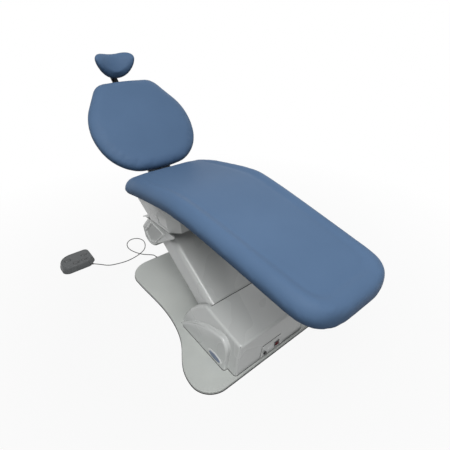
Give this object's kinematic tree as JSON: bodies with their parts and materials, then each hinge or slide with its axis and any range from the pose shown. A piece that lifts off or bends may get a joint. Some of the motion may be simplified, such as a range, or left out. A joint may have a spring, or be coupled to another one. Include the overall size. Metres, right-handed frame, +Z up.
{
  "type": "orthodontic chair",
  "caption": "Powered treatment chair with a one-piece seat and legrest, reclining back, sliding headrest, parallelogram lift on a floor plate, and a corded foot control.",
  "frame": {"origin": "centre of the floor plate, on the floor", "axes": "+X to the patient's left, +Y from the foot end to the head end, +Z up"},
  "size_m": [0.984, 1.8195, 1.2],
  "materials": {
    "grey_paint": "satin light grey powder coat",
    "grey_cover": "light grey moulded plastic, fine matt grain",
    "black_rubber": "matt black rubber",
    "white_plastic": "smooth white",
    "black_plastic": "smooth black",
    "red_plastic": "smooth dark red",
    "frame_steel": "satin dark grey paint",
    "bright_steel": "drawn and ground steel",
    "cast_alloy": "cast, bead blasted",
    "bush_brass": "turned",
    "pedal_plastic": "dark grey, fine grain",
    "button_plastic": "mid grey, smooth",
    "cord_rubber": "dark grey jacket, satin",
    "board_plastic": "black moulded board, grained",
    "blue_vinyl": "steel-blue upholstery vinyl, fine grain, satin"
  },
  "bodies": {
    "base": {"base_plate": "grey_paint", "base_gasket": "black_rubber", "base_housing": "grey_cover", "front_panel": "grey_cover", "panel_cap": "white_plastic", "fuse_holder": "black_plastic", "rocker_frame": "black_plastic", "pivot_bracket_left": "frame_steel", "pivot_bracket_right": "frame_steel", "lower_arm_pin": "bright_steel", "tie_anchor": "frame_steel", "lower_tie_pin": "bright_steel", "lift_gearmotor": "cast_alloy", "control_box": "frame_steel", "cord_gland": "black_plastic", "pedal_cord": "cord_rubber", "pedal_relief": "black_rubber", "pedal_base": "pedal_plastic", "pedal_sole": "black_rubber", "pedal_cover": "pedal_plastic"},
    "lift_arm": {"arm_frame": "frame_steel", "arm_bushes": "bush_brass", "horn_pin": "bright_steel", "arm_cover": "grey_cover", "arm_back_cover": "grey_cover"},
    "tie": {"tie_rod": "bright_steel"},
    "lift_drive": {"lift_screw": "bright_steel"},
    "seat": {"seat_frame": "frame_steel", "seat_board": "board_plastic", "upper_arm_pin": "bright_steel", "upper_tie_pin": "bright_steel", "back_hinge_pin": "bright_steel", "upper_shell": "grey_cover", "knuckle_shell": "grey_cover", "seat_cushion": "blue_vinyl", "back_gearmotor": "cast_alloy"},
    "back_drive": {"back_screw": "bright_steel"},
    "backrest": {"back_bracket": "grey_paint", "lever_pin": "bright_steel", "back_shell": "board_plastic", "back_cushion": "blue_vinyl", "headrest_guide": "board_plastic"},
    "headrest_slide": {"headrest_bar": "bright_steel", "headrest_pin": "bright_steel"},
    "headrest": {"headrest_plate": "frame_steel", "headrest_shell": "board_plastic", "headrest_cushion": "blue_vinyl"},
    "lock_lever": {"headrest_lever": "black_plastic"},
    "rocker": {"power_rocker": "red_plastic"},
    "fuse": {"fuse_cap": "black_plastic"},
    "button_seat_up": {"pedal_button_seat_up": "button_plastic"},
    "button_seat_down": {"pedal_button_seat_down": "button_plastic"},
    "button_back_up": {"pedal_button_back_up": "button_plastic"},
    "button_back_down": {"pedal_button_back_down": "button_plastic"}
  },
  "joints": [
    {"name": "lift", "type": "hinge", "parent": "base", "child": "lift_arm", "pos_m": [0, -0.302, 0.1], "axis": [1, 0, 0], "range_deg": [-26, 0]},
    {"name": "seat_level", "type": "hinge", "parent": "lift_arm", "child": "seat", "pos_m": [0, 0.21739, 0.43858], "axis": [1, 0, 0], "range_deg": [0, 26]},
    {"name": "tie_swing", "type": "hinge", "parent": "base", "child": "tie", "pos_m": [0.07, -0.302, 0.05], "axis": [1, 0, 0], "range_deg": [-26, 0]},
    {"name": "lift_screw_travel", "type": "slide", "parent": "base", "child": "lift_drive", "axis": [0, 1, 0], "range_m": [0, 0.0345]},
    {"name": "recline", "type": "hinge", "parent": "seat", "child": "backrest", "pos_m": [0, 0.402, 0.566], "axis": [1, 0, 0], "range_deg": [-46, 6]},
    {"name": "back_screw_travel", "type": "slide", "parent": "seat", "child": "back_drive", "axis": [0, 1, 0], "range_m": [-0.0575, 0.0078]},
    {"name": "headrest_height", "type": "slide", "parent": "backrest", "child": "headrest_slide", "axis": [0, 0.6947, 0.7193], "range_m": [0, 0.1]},
    {"name": "headrest_tilt", "type": "hinge", "parent": "headrest_slide", "child": "headrest", "pos_m": [0, 0.91981, 1.08837], "axis": [1, 0, 0], "range_deg": [-30, 8]},
    {"name": "headrest_lock", "type": "hinge", "parent": "headrest_slide", "child": "lock_lever", "pos_m": [0.037, 0.91981, 1.08837], "axis": [1, 0, 0], "range_deg": [0, 60]},
    {"name": "power_switch", "type": "hinge", "parent": "base", "child": "rocker", "pos_m": [0.034, -0.494, 0.05], "axis": [1, 0, 0], "range_deg": [0, 14]},
    {"name": "fuse_turn", "type": "hinge", "parent": "base", "child": "fuse", "pos_m": [-0.044, -0.494, 0.04], "axis": [0, -1, 0], "range_deg": [0, 60]},
    {"name": "press_seat_up", "type": "slide", "parent": "base", "child": "button_seat_up", "axis": [0, 0, -1], "range_m": [0, 0.003], "stiffness_N_per_m": 600},
    {"name": "press_seat_down", "type": "slide", "parent": "base", "child": "button_seat_down", "axis": [0, 0, -1], "range_m": [0, 0.003], "stiffness_N_per_m": 600},
    {"name": "press_back_up", "type": "slide", "parent": "base", "child": "button_back_up", "axis": [0, 0, -1], "range_m": [0, 0.003], "stiffness_N_per_m": 600},
    {"name": "press_back_down", "type": "slide", "parent": "base", "child": "button_back_down", "axis": [0, 0, -1], "range_m": [0, 0.003], "stiffness_N_per_m": 600}
  ],
  "couplings": [
    {"joint": "seat_level", "follows": "lift", "ratio": -1},
    {"joint": "tie_swing", "follows": "lift", "ratio": 1},
    {"joint": "lift_screw_travel", "follows": "lift", "m_per_rad": -0.07535},
    {"joint": "back_screw_travel", "follows": "recline", "m_per_rad": 0.0712}
  ]
}
